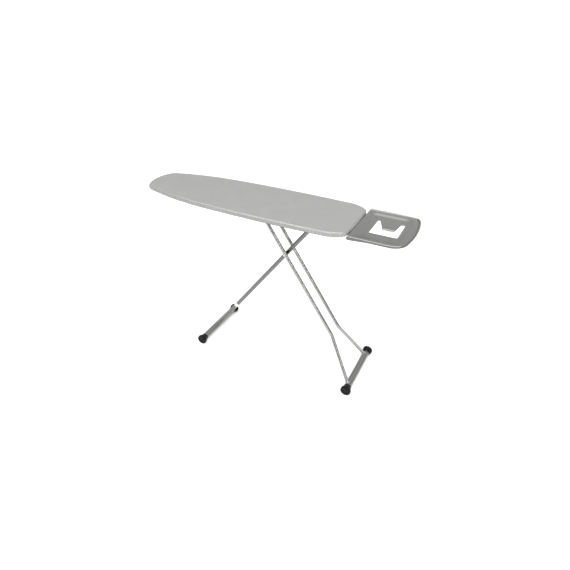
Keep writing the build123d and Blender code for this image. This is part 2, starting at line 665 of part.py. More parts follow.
def make_tray():
    """Pressed sheet tray: beaded rim on three sides, shelf, sunk floor, cut-out and tab."""
    bottom, top = TRAY_Z
    left = TRAY_X[0]
    with BuildPart() as tray:
        with BuildSketch(Plane.XY.offset(bottom)):
            tray_outline(0, left)
        extrude(amount=top - bottom)
        tray_layer(RIM_BEAD, left - 1, SHELF_Z, top)
        fillet(tray.edges().group_by(Axis.Z)[-1].filter_by(Axis.Y, reverse=True), RIM_ROUND)
        tray_layer(STEP_INSET, left + LEFT_STEP, TRAY_FLOOR_Z, SHELF_Z)
        with BuildSketch(Plane.XY.offset(bottom)):
            tray_outline(2, left - 1)
            with BuildSketch(mode=Mode.SUBTRACT):
                tray_outline(RIM_BEAD - SHEET, left - 2)
        extrude(amount=top - SHEET - bottom, mode=Mode.SUBTRACT)
        tray_layer(2, left + SHEET, bottom, SHELF_Z - SHEET, STEP_INSET - SHEET)
        tray_layer(2, left - 1, bottom, TRAY_FLOOR_Z - SHEET)
        with BuildSketch(Plane.XY.offset(bottom)) as cut_out:
            with Locations((sum(OPENING_X) / 2, sum(OPENING_Y) / 2)):
                width, length = OPENING_X[1] - OPENING_X[0], OPENING_Y[1] - OPENING_Y[0]
                RectangleRounded(width, length, OPENING_CORNER)
            with BuildLine(mode=Mode.PRIVATE) as tab:
                Polyline(
                    (TAB_BASE_X[0], OPENING_Y[1] + 1),
                    (TAB_TIP_X[0], TAB_TIP_Y),
                    (TAB_TIP_X[1], TAB_TIP_Y),
                    (TAB_BASE_X[1], OPENING_Y[1] + 1),
                    close=True,
                )
            make_face(tab.edges(), mode=Mode.SUBTRACT)
            corners = [v for v in cut_out.vertices() if abs(v.Y - TAB_TIP_Y) < GAP]
            fillet(corners, TAB_CORNER)
        extrude(amount=top - bottom, mode=Mode.SUBTRACT)
        box_between(
            (TAB_TIP_X[0] + TAB_CORNER, TAB_TIP_Y - SHEET + 0.3, TRAY_FLOOR_Z - TAB_LIP),
            (TAB_TIP_X[1] - TAB_CORNER, TAB_TIP_Y + 0.3, TRAY_FLOOR_Z - 0.5),
        )
        for x, y in tray_rivet_places():
            with Locations((x, y, TRAY_FLOOR_Z)):
                Hole(RIVET / 2 + GAP / 2, depth=SHEET * 2)
    save(tray, "iron_tray")


def tray_rivet_places():
    return [(x, side * ARM_Y) for x in RIVET_X for side in SIDES.values()]


def make_tray_arm(name, side):
    """Flat steel arm from the rear brace, stepped up under the tray floor."""
    high = TRAY_FLOOR_Z - SHEET
    edge = (0, side * ARM_Y + ARM_HALF_WIDTH, 0)
    with BuildPart() as arm:
        with BuildSketch(Plane(edge, x_dir=(1, 0, 0), z_dir=(0, -1, 0))):
            with BuildLine():
                Polyline(
                    (ARM_X[0], ARM_Z),
                    (JOGGLE_X[0], ARM_Z),
                    (JOGGLE_X[1], high),
                    (ARM_X[1], high),
                    (ARM_X[1], high - ARM_SHEET),
                    (JOGGLE_X[1] + 1, high - ARM_SHEET),
                    (JOGGLE_X[0] + 1, ARM_Z - ARM_SHEET),
                    (ARM_X[0], ARM_Z - ARM_SHEET),
                    close=True,
                )
            make_face()
        extrude(amount=2 * ARM_HALF_WIDTH)
        ends = arm.edges().filter_by(Axis.Z).group_by(Axis.X)
        fillet(ends[0] + ends[-1], ARM_CORNER)
        for x, y in tray_rivet_places():
            if y * side > 0:
                with Locations((x, y, high)):
                    Hole(RIVET / 2 + GAP / 2, depth=ARM_SHEET * 2)
        for x, y in brace_holes("cross_brace_rear"):
            if y * side > 0:
                with Locations((x, y, ARM_Z)):
                    Hole(BOLT / 2 + GAP, depth=ARM_SHEET * 2)
    save(arm, name)


def make_tray_rivets():
    """Flush rivets with their formed heads under the arms."""
    head_z = TRAY_FLOOR_Z - SHEET - ARM_SHEET
    with BuildPart() as rivets:
        for x, y in tray_rivet_places():
            with BuildSketch(Plane((x, y, head_z))):
                Circle(RIVET / 2)
            extrude(amount=TRAY_FLOOR_Z - head_z)
            with BuildSketch(Plane((x, y, head_z))):
                Circle(RIVET_HEAD[0] / 2)
            extrude(amount=-RIVET_HEAD[1])
    save(rivets, "tray_rivets")


# ---------------------------------------------------------------- build everything
os.makedirs("parts", exist_ok=True)
make_cover()
make_foam_pad()
make_panel_and_rim()
for brace_name in BRACES:
    make_brace(brace_name)
make_bracket()
make_hinge_pin()
make_bolts()
make_catch_rods()
make_inner_leg()
make_foot("inner", INNER_FOOT_X)
make_foot("outer", OUTER_FOOT_X)
make_cross_joint()
make_axle_clips()
make_tray()
make_tray_rivets()
for side_name, side_sign in SIDES.items():
    make_rail(f"rail_{side_name}", side_sign)
    make_catch_plate(f"catch_plate_{side_name}", side_sign)
    make_outer_leg(f"outer_leg_{side_name}", side_sign)
    make_slide_axle(side_name, side_sign)
    make_tray_arm(f"tray_arm_{side_name}", side_sign)

print(f"inner leg hinge at X {HINGE_X:.2f}, sliding axles at X {AXLE_X:.2f}, folded {FOLDED_AXLE_X:.2f}")
print(f"outer leg angle {degrees(outer_angle):.3f}, inner leg angle {degrees(inner_angle):.3f}")
print(f"fold ratio {-(1 + outer_angle / inner_angle):.4f}")
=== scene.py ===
"""Looks of a folding ironing board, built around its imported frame.

Metres, +Z up, in the frame's own axes: the nose at -X, the iron tray at +X, "near" pieces at -Y.
"""

import json
from itertools import accumulate
from math import asin, atan2, ceil, cos, hypot, pi, radians, sin, tan

import bmesh
import bpy
from mathutils import Matrix, Vector, noise
from mathutils.geometry import delaunay_2d_cdt
from mathutils.kdtree import KDTree


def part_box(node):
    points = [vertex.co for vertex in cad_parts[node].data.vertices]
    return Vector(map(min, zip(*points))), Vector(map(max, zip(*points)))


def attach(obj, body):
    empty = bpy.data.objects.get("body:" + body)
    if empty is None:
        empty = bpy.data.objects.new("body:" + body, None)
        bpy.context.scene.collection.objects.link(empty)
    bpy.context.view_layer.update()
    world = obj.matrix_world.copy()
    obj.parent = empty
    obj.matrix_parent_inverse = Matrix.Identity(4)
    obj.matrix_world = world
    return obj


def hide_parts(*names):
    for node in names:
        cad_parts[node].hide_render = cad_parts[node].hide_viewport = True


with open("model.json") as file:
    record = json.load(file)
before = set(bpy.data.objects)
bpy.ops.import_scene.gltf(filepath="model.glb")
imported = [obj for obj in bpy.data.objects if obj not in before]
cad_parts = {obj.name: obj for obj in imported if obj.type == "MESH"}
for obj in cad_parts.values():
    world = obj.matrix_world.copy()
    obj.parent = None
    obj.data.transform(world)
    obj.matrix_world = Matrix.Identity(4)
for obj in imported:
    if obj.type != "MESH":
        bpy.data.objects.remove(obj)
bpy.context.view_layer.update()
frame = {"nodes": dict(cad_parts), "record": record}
nodes = frame["nodes"]

# ---------------------------------------------------------------- sizes
# Board outline: (radius, turn in degrees) of tangent arcs from the nose to the square end
OUTLINE_ARCS = (
    (0.190, 27.0),
    (0.062, 45.1),
    (1.367, 15.05),
    (6.900, 2.95),
    (7.500, 2.2),
    (0.154, 34.0),
    (0.044, 53.7),
)
COVER_LOW, COVER_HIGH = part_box("cover")
PANEL_LOW, PANEL_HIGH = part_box("board_panel")
FOAM_LOW, FOAM_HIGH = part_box("foam_pad")

COVER_STEP = 0.0032  # spacing of the cover's columns along the board's edge
COVER_ROUND = 0.0095  # upper edge
COVER_TUCK = 0.0042  # lower edge, where the cloth turns under
HEM_REACH = 0.0265  # how far the hem reaches under the board
CASING = 0.0026  # radius of the drawn elastic's casing
TOP_RING = 0.038  # inset where the cover's even rings end
TOP_GRID = 0.010  # pitch of the points inside those rings
CLOTH = 0.0007
LOZENGE = 0.0125  # pitch of the cover's print
TOP_ROWS, CASING_ROWS = 4, 5  # rows held while the cloth settles
HEM_ROWS = 7  # last rows of the cover, in the hem's closer weave
STITCH_ROW = 8  # the row that the stitches follow, counted from the last one
SHADED_HEM_ROWS = range(13, 16)  # rows painted dark as shade under the cover's rounded lower edge
GATHER_PITCH = 0.021  # the drawn cloth's folds, before it settles
SPARE_CLOTH = 0.10  # how much longer the drawn hem's cloth is than the room it has
SETTLE_FRAMES = 22
SETTLE_REACH = 0.0032  # the furthest that the hem may settle
TOP_REACH = 0.25  # share of that for cloth with nothing to spare
SETTLE_GAP = 0.0004  # kept between the cloth and what it settles against
CLOTH_SETTINGS = {
    "quality": 6,
    "mass": 0.02,
    "air_damping": 2.0,
    "tension_stiffness": 25.0,
    "compression_stiffness": 25.0,
    "shear_stiffness": 8.0,
    "bending_stiffness": 0.02,
    "vertex_group_mass": "held",
    "vertex_group_shrink": "spare",
    "shrink_min": 0.0,
    "shrink_max": -SPARE_CLOTH,
}

TRAY_LOW, TRAY_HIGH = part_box("iron_tray")
TRAY_BOW = 0.640  # radius of the tray's outer end
TRAY_CORNER = 0.070  # radius of its two outer corners
TRAY_RIM = 0.009  # width of its rolled rim
SHELF = TRAY_HIGH.z - 0.006  # height of the flat band inside the rim
TRAY_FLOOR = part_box("tray_rivets")[1].z  # height of its sunk floor, flush with the rivets
STEP_INSET = 0.046  # distance from the tray's edge to the step down to its floor
STEP_LEFT = 0.025  # the same step's distance from the board's side
STEP_RUN = 0.031  # how wide the pressed step is
STEP_RUN_LEFT = 0.030  # the same beside the board, where it is a long slope
STEP_RUN_END = 0.046  # the same at the bowed end
OPENING_X = (0.514, 0.644)
OPENING_Y = (-0.067, 0.077)
TAB_BASE_X = (0.527, 0.623)
TAB_TIP_X = (0.562, 0.613)
TAB_TIP_Y = -0.009
TAB_RIDGE = (0.009, 0.0036, 0.0021)  # across the tab: distance from its tip, half width, height
TRAY_LIP = 0.0016  # raised edge beside the board
SKIRT_RISE = 0.0065  # how much shallower the rim's skirt gets towards the bowed end
SKIRT_RUN = 0.120  # the length over which it does
TRAY_SHEET = 0.0013
BEAD_ROWS = range(3, 10)  # rim rows with a painted highlight on the tray's straight sides; the later rows get painted shade

TUBE_RING = 0.012  # length of the rings that long tubes are cut into

DIAMOND = (0.0100, 0.0046)  # half diagonals of the expanded mesh's openings
STRAND_SHARE = 0.30  # part of a diamond that is steel
MESH_SHEET = 0.0007


# ---------------------------------------------------------------- material helpers
MIX_BEFORE, MIX_OTHER, MIX_RESULT = 6, 7, 2  # a Mix node's colour sockets, which share their names
RANGE_SOCKETS = ("From Min", "From Max", "To Min", "To Max")


class Paint:
    """A material being made: its shader, and short ways to add and join nodes."""

    def __init__(self, name, color, roughness, metallic=0.0):
        self.material = bpy.data.materials.new(name)
        self.material.use_nodes = True
        self.tree = self.material.node_tree
        self.shader = self.tree.nodes["Principled BSDF"]
        self.set("Base Color", (*color, 1.0))
        self.set("Roughness", roughness)
        self.set("Metallic", metallic)
        self.place = self.node("ShaderNodeTexCoord").outputs["Object"]
        self.color = color
        self.roughness = roughness

    def set(self, socket, value):
        self.shader.inputs[socket].default_value = value

    def node(self, kind, **settings):
        made = self.tree.nodes.new(kind)
        for key, value in settings.items():
            setattr(made, key, value)
        return made

    def plug(self, socket, value):
        if isinstance(value, bpy.types.NodeSocket):
            self.tree.links.new(value, socket)
        else:
            socket.default_value = value

    def math(self, operation, a, b=0.0, clamp=False):
        made = self.node("ShaderNodeMath", operation=operation, use_clamp=clamp)
        self.plug(made.inputs[0], a)
        self.plug(made.inputs[1], b)
        return made.outputs[0]

    def stretched(self, scale):
        made = self.node("ShaderNodeMapping")
        self.plug(made.inputs["Vector"], self.place)
        made.inputs["Scale"].default_value = scale
        return made.outputs[0]

    def noise(self, size, detail=2.0, place=None):
        """Soft noise whose lumps are about this size in metres."""
        made = self.node("ShaderNodeTexNoise")
        self.plug(made.inputs["Vector"], place or self.place)
        made.inputs["Scale"].default_value = 1 / size
        made.inputs["Detail"].default_value = detail
        return made.outputs["Fac"]

    def cells(self, size, feature="F1"):
        made = self.node("ShaderNodeTexVoronoi", feature=feature)
        self.plug(made.inputs["Vector"], self.place)
        made.inputs["Scale"].default_value = 1 / size
        return made.outputs["Distance"]

    def bands(self, pitch, direction):
        """Even bands across an axis, this far apart in metres."""
        made = self.node("ShaderNodeTexWave", wave_type="BANDS", bands_direction=direction)
        self.plug(made.inputs["Vector"], self.place)
        made.inputs["Scale"].default_value = 2 * pi / 20 / pitch
        return made.outputs["Fac"]

    def window(self, value, low, high, bottom=0.0, top=1.0):
        made = self.node("ShaderNodeMapRange", interpolation_type="SMOOTHSTEP")
        self.plug(made.inputs["Value"], value)
        for key, number in zip(RANGE_SOCKETS, (low, high, bottom, top)):
            made.inputs[key].default_value = number
        return made.outputs["Result"]

    def tint(self, factor, other):
        """Mixes another colour into the base colour by a factor, on top of earlier tints."""
        made = self.node("ShaderNodeMix", data_type="RGBA")
        base = self.shader.inputs["Base Color"]
        before = base.links[0].from_socket if base.links else tuple(base.default_value)
        self.plug(made.inputs["Factor"], factor)
        self.plug(made.inputs[MIX_BEFORE], before)
        self.plug(made.inputs[MIX_OTHER], (*other, 1.0))
        self.tree.links.new(made.outputs[MIX_RESULT], base)

    def rough(self, value, spread):
        """Roughness that wanders about its base value."""
        low, high = self.roughness - spread, self.roughness + spread
        wandering = self.window(value, 0.3, 0.7, low, high)
        self.tree.links.new(wandering, self.shader.inputs["Roughness"])

    def bump(self, height, depth, strength=1.0):
        """Adds relief of this depth in metres, on top of earlier relief."""
        made = self.node("ShaderNodeBump")
        made.inputs["Strength"].default_value = strength
        made.inputs["Distance"].default_value = depth
        self.plug(made.inputs["Height"], height)
        normal = self.shader.inputs["Normal"]
        if normal.links:
            self.tree.links.new(normal.links[0].from_socket, made.inputs["Normal"])
        self.tree.links.new(made.outputs["Normal"], normal)


def mixed(color, other, share):
    return tuple(a + (b - a) * share for a, b in zip(color, other))


# ---------------------------------------------------------------- materials
def woven(name, color, roughness, thread=0.0011):
    """Plain weave with slubs, slightly uneven in tone."""
    paint = Paint(name, color, roughness)
    weave = paint.math("MULTIPLY", paint.bands(thread, "X"), paint.bands(thread, "Y"))
    paint.tint(paint.window(weave, 0.0, 0.8, 0.16, 0.0), mixed(color, (0, 0, 0), 0.5))
    slubs = paint.noise(0.004, 3, paint.stretched((1.0, 5.0, 1.0)))
    paint.tint(paint.window(slubs, 0.52, 0.75, 0.0, 0.12), mixed(color, (1, 1, 1), 0.5))
    cloudy = paint.noise(0.07, 3)
    paint.tint(paint.window(cloudy, 0.35, 0.7, 0.0, 0.10), mixed(color, (0.3, 0.3, 0.3), 0.6))
    paint.rough(cloudy, 0.06)
    paint.bump(weave, 0.0002, 0.5)
    paint.bump(slubs, 0.0002, 0.3)
    return paint


def cover_fabric():
    """Silver-coated cotton with a faint generic lozenge print."""
    paint = woven("cover_fabric", (0.355, 0.355, 0.35), 0.46)
    paint.set("Metallic", 0.25)
    paint.set("Sheen Weight", 0.12)
    paint.set("Sheen Roughness", 0.4)
    turned = paint.node("ShaderNodeVectorRotate", rotation_type="Z_AXIS")
    paint.plug(turned.inputs["Vector"], paint.place)
    turned.inputs["Angle"].default_value = radians(45)
    split = paint.node("ShaderNodeSeparateXYZ")
    paint.plug(split.inputs[0], turned.outputs[0])
    across = [
        paint.math("ABSOLUTE", paint.math("SINE", paint.math("MULTIPLY", axis, pi / LOZENGE)))
        for axis in (split.outputs["X"], split.outputs["Y"])
    ]
    lozenge = paint.math("MINIMUM", *across)
    paint.tint(paint.window(lozenge, 0.10, 0.34, 0.22, 0.0), (0.30, 0.30, 0.30))
    dot = paint.math("MULTIPLY", *across)
    paint.tint(paint.window(dot, 0.80, 0.95, 0.0, 0.25), (0.80, 0.80, 0.79))
    return paint.material


def close_weave(name, color):
    """Closer weave of the hem's casing, also used for the dark painted shade along the cover's
    lower edge.
    """
    return woven(name, color, 0.7, 0.0008).material


def thread():
    paint = Paint("hem_thread", (0.55, 0.55, 0.54), 0.6)
    twist = paint.bands(0.0006, "DIAGONAL")
    paint.tint(paint.window(twist, 0.2, 0.8, 0.3, 0.0), (0.25, 0.25, 0.25))
    paint.bump(twist, 0.0001, 0.6)
    paint.set("Sheen Weight", 0.3)
    return paint.material


def foam():
    paint = Paint("foam", (0.80, 0.79, 0.74), 0.95)
    pores = paint.cells(0.0022)
    paint.tint(paint.window(pores, 0.0, 0.45, 0.5, 0.0), (0.45, 0.44, 0.40))
    paint.tint(paint.window(paint.noise(0.03), 0.4, 0.7, 0.0, 0.25), (0.72, 0.68, 0.56))
    paint.rough(paint.noise(0.01), 0.04)
    paint.bump(pores, 0.0008, 0.7)
    return paint.material


def coated_steel(name, color, roughness, metallic=0.55, wear=1.0):
    """Painted steel: fine flake, orange peel, and worn and dusty patches, more or less of them."""
    paint = Paint(name, color, roughness, metallic)
    flake = paint.noise(0.0007, 1)
    paint.tint(paint.window(flake, 0.45, 0.7, 0.0, 0.16), mixed(color, (1, 1, 1), 0.4))
    dusty = paint.noise(0.045, 4)
    dust = mixed(color, (0.35, 0.34, 0.32), 0.6)
    paint.tint(paint.window(dusty, 0.5, 0.75, 0.0, 0.14 * wear), dust)
    rubbed = paint.noise(0.012, 5, paint.stretched((1.0, 1.0, 0.35)))
    paint.tint(paint.window(rubbed, 0.66, 0.72, 0.0, 0.30 * wear), (0.30, 0.30, 0.30))
    paint.rough(dusty, 0.06 * wear)
    paint.bump(paint.noise(0.0016, 1), 0.00008, 0.10)
    paint.set("Coat Weight", 0.15)
    paint.set("Coat Roughness", 0.25)
    return paint.material


def zinc_steel():
    paint = Paint("zinc_steel", (0.66, 0.66, 0.64), 0.30, 1.0)
    spangle = paint.cells(0.004)
    paint.tint(paint.window(spangle, 0.1, 0.6, 0.0, 0.3), (0.52, 0.53, 0.50))
    drawn = paint.noise(0.0009, 3, paint.stretched((1.0, 0.12, 1.0)))
    paint.tint(paint.window(drawn, 0.5, 0.8, 0.0, 0.25), (0.42, 0.40, 0.36))
    paint.rough(drawn, 0.10)
    paint.bump(drawn, 0.00005, 0.4)
    return paint.material


def moulded(name, color, roughness, grain=0.0008, lift=0.25, gloss=0.5):
    """Moulded plastic: fine grain, faint flow marks and rubbed high spots."""
    paint = Paint(name, color, roughness)
    paint.set("Specular IOR Level", gloss)
    grainy = paint.noise(grain, 2)
    flow = paint.noise(0.02, 3)
    paint.tint(paint.window(flow, 0.45, 0.75, 0.0, lift), mixed(color, (0.5, 0.5, 0.5), 0.22))
    scuffs = paint.noise(0.006, 5, paint.stretched((1.0, 0.3, 1.0)))
    paint.tint(paint.window(scuffs, 0.62, 0.72, 0.0, 0.5), mixed(color, (0.5, 0.5, 0.5), 0.30))
    paint.rough(flow, 0.08)
    paint.bump(grainy, 0.00012, 0.5)
    paint.bump(scuffs, 0.0001, 0.2)
    return paint.material


def weld_metal():
    paint = Paint("weld_metal", (0.50, 0.50, 0.49), 0.42, 0.7)
    ripple = paint.noise(0.002, 3)
    paint.tint(paint.window(ripple, 0.45, 0.7, 0.0, 0.4), (0.30, 0.30, 0.30))
    paint.rough(ripple, 0.1)
    paint.bump(ripple, 0.0004, 0.6)
    return paint.material


def floor_surface():
    paint = Paint("studio_floor", (0.74, 0.74, 0.74), 0.75)
    paint.set("Emission Color", (1.0, 1.0, 1.0, 1.0))
    paint.set("Emission Strength", 0.45)
    paint.tint(paint.window(paint.noise(0.6), 0.4, 0.7, 0.0, 0.04), (0.68, 0.68, 0.68))
    return paint.material


SLOT_MATERIALS = {
    "cover_fabric": cover_fabric(),
    "foam": foam(),
    "mesh_steel": coated_steel("mesh_steel", (0.60, 0.60, 0.59), 0.50, 0.35),
    "frame_paint": coated_steel("frame_paint", (0.56, 0.56, 0.55), 0.44),
    "leg_paint": coated_steel("leg_paint", (0.39, 0.39, 0.38), 0.22, 0.9, 0.15),
    "foot_paint": coated_steel("foot_paint", (0.24, 0.24, 0.23), 0.34, 0.7, 0.6),
    "tray_paint": coated_steel("tray_paint", (0.34, 0.34, 0.325), 0.30, 0.92, 0.35),
    "zinc_steel": zinc_steel(),
    "black_plastic": moulded("black_plastic", (0.006, 0.006, 0.007), 0.38, lift=0.08, gloss=0.12),
    "nylon": moulded("nylon", (0.72, 0.71, 0.66), 0.45, 0.0012, 0.12),
    "pale_plastic": moulded("pale_plastic", (0.80, 0.80, 0.78), 0.40, 0.0012, 0.10),
}
EXTRA_MATERIALS = {
    "hem": close_weave("close_weave", (0.36, 0.36, 0.355)),
    # Dark painted shade under the cover's rounded lower edge and on its lower side at the tail, in
    # the hem's close weave
    "shaded_hem": close_weave("hem_painted_shade", (0.10, 0.10, 0.10)),
    "thread": thread(),
    "weld": weld_metal(),
    # Painted highlight on the rolled rim's straight sides, and painted shade on its skirt
    "rim_painted_highlight": coated_steel("rim_painted_highlight", (0.80, 0.80, 0.79), 0.30, 0.40, 0.5),
    "rim_painted_shade": coated_steel("rim_painted_shade", (0.16, 0.16, 0.155), 0.36, 0.75, 0.5),
    # A darker copy of the leg paint for the inner leg: painted shade
    "inner_leg": coated_steel("inner_leg_painted_shade", (0.17, 0.17, 0.165), 0.30, 0.85, 0.5),
}


def dress_cad_nodes():
    """Gives each carried-over CAD node the material of its slot."""
    for row in frame["record"]["subparts"]:
        node = nodes[row["node"]]
        for place in node.material_slots:
            place.material = SLOT_MATERIALS[row["material_slot"]]
    # The inner leg tube takes the darker copy of the leg paint, as painted shade
    nodes["inner_leg_tube"].material_slots[0].material = EXTRA_MATERIALS["inner_leg"]


# ---------------------------------------------------------------- mesh helpers
def piece_from(name, vertices, faces, material, smooth=True):
    mesh = bpy.data.meshes.new(name)
    mesh.from_pydata([tuple(v) for v in vertices], [], faces)
    mesh.materials.append(material)
    mesh.update()
    if smooth:
        mesh.shade_smooth()
    piece = bpy.data.objects.new(name, mesh)
    bpy.context.scene.collection.objects.link(piece)
    return piece


def outward(piece):
    """Turns the piece's faces outwards."""
    work = bmesh.new()
    work.from_mesh(piece.data)
    bmesh.ops.recalc_face_normals(work, faces=work.faces)
    work.to_mesh(piece.data)
    work.free()


def board_edge(step):
    """The board's edge as (point, outward direction), from the nose round the far side and back."""
    half, place, heading = [], Vector((COVER_LOW.x, 0.0)), pi / 2
    for radius, turn in OUTLINE_ARCS:
        turn = radians(turn)
        centre = place + Vector((sin(heading), -cos(heading))) * radius
        count = max(2, round(radius * turn / step))
        for i in range(count):
            angle = heading - turn * i / count
            out = Vector((-sin(angle), cos(angle)))
            half.append((centre + out * radius, out))
        heading -= turn
        place = centre + Vector((-sin(heading), cos(heading))) * radius
    count = max(2, round(place.y / step))
    for i in range(count + 1):
        half.append((Vector((place.x, place.y * (1 - i / count))), Vector((1.0, 0.0))))
    back = [(Vector((p.x, -p.y)), Vector((n.x, -n.y))) for p, n in reversed(half[1:-1])]
    return half + back


class Contour:
    """Closed outline of (point, outward direction) that tells how far a place is outside it."""

    def __init__(self, outline):
        self.outline = outline
        self.tree = KDTree(len(outline))
        for i, (p, _) in enumerate(outline):
            self.tree.insert((p.x, p.y, 0), i)
        self.tree.balance()

    def nearest(self, x, y):
        """How far outside the place is, and the outline's nearest point."""
        near, i, _ = self.tree.find((x, y, 0))
        out = self.outline[i][1]
        return (x - near.x) * out.x + (y - near.y) * out.y, near

    def outside(self, x, y):
        return self.nearest(x, y)[0]


def ring_faces(start, count, rings):
    """Quads between consecutive closed rings of vertices."""
    faces = []
    for r in range(rings - 1):
        low, high = start + r * count, start + (r + 1) * count
        for i in range(count):
            j = (i + 1) % count
            faces.append((low + i, low + j, high + j, high + i))
    return faces


def filled(edge, inset, grid):
    """Even triangles inside the board's outline: 2-D points, the ring's own first, and faces."""
    ring = [p - n * inset for p, n in edge]
    border = Contour([(p, n) for p, (_, n) in zip(ring, edge)])
    inner = []
    rows = ceil(COVER_HIGH.y / grid)
    columns = ceil((COVER_HIGH.x - COVER_LOW.x) / grid)
    for row in range(-rows, rows + 1):
        for column in range(columns + 1):
            p = Vector((COVER_LOW.x + (column + 0.5 * (row % 2)) * grid, row * grid))
            if border.outside(p.x, p.y) < -0.45 * grid:
                inner.append(p)
    points, _, faces, *_ = delaunay_2d_cdt(ring + inner, [], [tuple(range(len(ring)))], 1, 1e-6)
    return [Vector(p) for p in points], [tuple(f) for f in faces]


# ---------------------------------------------------------------- cover
def cover_profile():
    """(inset, height, gather) from the top's edge, over the side, to the casing under the board."""
    top, bottom = COVER_HIGH.z, COVER_LOW.z + 0.0006
    rows = [(inset, top, 0.0) for inset in (TOP_RING, 0.031, 0.025, 0.0195, 0.0145)]
    for i in range(7):
        angle = radians(90 * i / 6)
        inset = COVER_ROUND * (1 - sin(angle))
        rows.append((inset, top - COVER_ROUND * (1 - cos(angle)), 0.02 * i / 6))
    straight = (top - COVER_ROUND, bottom + COVER_TUCK)
    for share in (0.33, 0.66):
        rows.append((0.0, straight[0] + (straight[1] - straight[0]) * share, 0.05 + 0.08 * share))
    for i in range(5):
        angle = radians(90 * i / 4)
        inset = COVER_TUCK * (1 - cos(angle))
        rows.append((inset, bottom + COVER_TUCK * (1 - sin(angle)), 0.15 + 0.15 * i / 4))
    for share in (0.2, 0.4, 0.6, 0.8, 1.0):
        inset = COVER_TUCK + (HEM_REACH - COVER_TUCK) * share
        rows.append((inset, bottom + 0.0022 * share, 0.3 + 0.7 * share))
    for i in range(1, 7):
        angle = radians(-90 + 50 * i)
        inset = HEM_REACH + CASING * cos(angle)
        rows.append((inset, bottom + 0.0022 + CASING * (1 + sin(angle)), 1.0))
    return rows


def gather(p, out, along, count, length):
    """Height of the drawn cloth's small folds at one place on the edge, from -1 to 1."""
    wander = noise.noise(Vector((p.x, p.y, 0.0)) * 9.0) * 2.6
    phase = 2 * pi * count * along / length + wander
    fold = sin(phase) + 0.35 * sin(2.3 * phase + 1.7)
    return fold / 1.35 * (0.65 + 0.5 * noise.noise(Vector((p.y, p.x, 3.0)) * 21.0))


def make_core(edge):
    """Outside of the foam and the rim, for the cloth to lie against while it settles."""
    top, bottom = COVER_HIGH.z - CLOTH - 0.0002, COVER_LOW.z + CLOTH + 0.0005
    side = CLOTH + 0.0002
    rows = (
        (0.030, top),
        (COVER_ROUND, top - 0.0003),
        (0.0035, top - 0.0035),
        (side, top - COVER_ROUND),
        (side, bottom + COVER_TUCK),
        (COVER_TUCK, bottom + 0.0004),
        (HEM_REACH + 0.006, bottom + 0.0008),
    )
    vertices = [(p.x - n.x * inset, p.y - n.y * inset, z) for inset, z in rows for p, n in edge]
    core = piece_from("core", vertices, ring_faces(0, len(edge), len(rows)), SLOT_MATERIALS["foam"])
    outward(core)
    return core


def settle(cover, held, spare, edge):
    """Lets the cloth buckle into gathers: the top stays stretched, and the casing holds the hem."""
    core = make_core(edge)
    core.modifiers.new("solid", "COLLISION")
    core.collision.thickness_outer = SETTLE_GAP
    for name, weights in (("held", held), ("spare", spare)):
        group = cover.vertex_groups.new(name=name)
        for i, weight in enumerate(weights):
            group.add([i], weight, "REPLACE")
    before = [v.co.copy() for v in cover.data.vertices]
    cloth = cover.modifiers.new("cloth", "CLOTH")
    for key, value in CLOTH_SETTINGS.items():
        setattr(cloth.settings, key, value)
    cloth.settings.effector_weights.gravity = 0.15
    cloth.collision_settings.distance_min = SETTLE_GAP
    cloth.collision_settings.collision_quality = 2
    cloth.point_cache.frame_end = SETTLE_FRAMES
    for number in range(1, SETTLE_FRAMES + 1):
        bpy.context.scene.frame_set(number)
    depsgraph = bpy.context.evaluated_depsgraph_get()
    settled = [v.co.copy() for v in cover.evaluated_get(depsgraph).data.vertices]
    cover.modifiers.remove(cloth)
    bpy.context.scene.frame_set(1)
    bpy.data.objects.remove(core)
    cover.vertex_groups.clear()
    for vertex, start, end, share in zip(cover.data.vertices, before, settled, spare):
        move = end - start
        reach = SETTLE_REACH * (TOP_REACH + (1 - TOP_REACH) * min(1.0, 3 * share))
        if move.length > reach:
            move *= reach / move.length
        vertex.co = start + move
        vertex.co.z = max(vertex.co.z, COVER_LOW.z + 0.0002)
    cover.data.update()


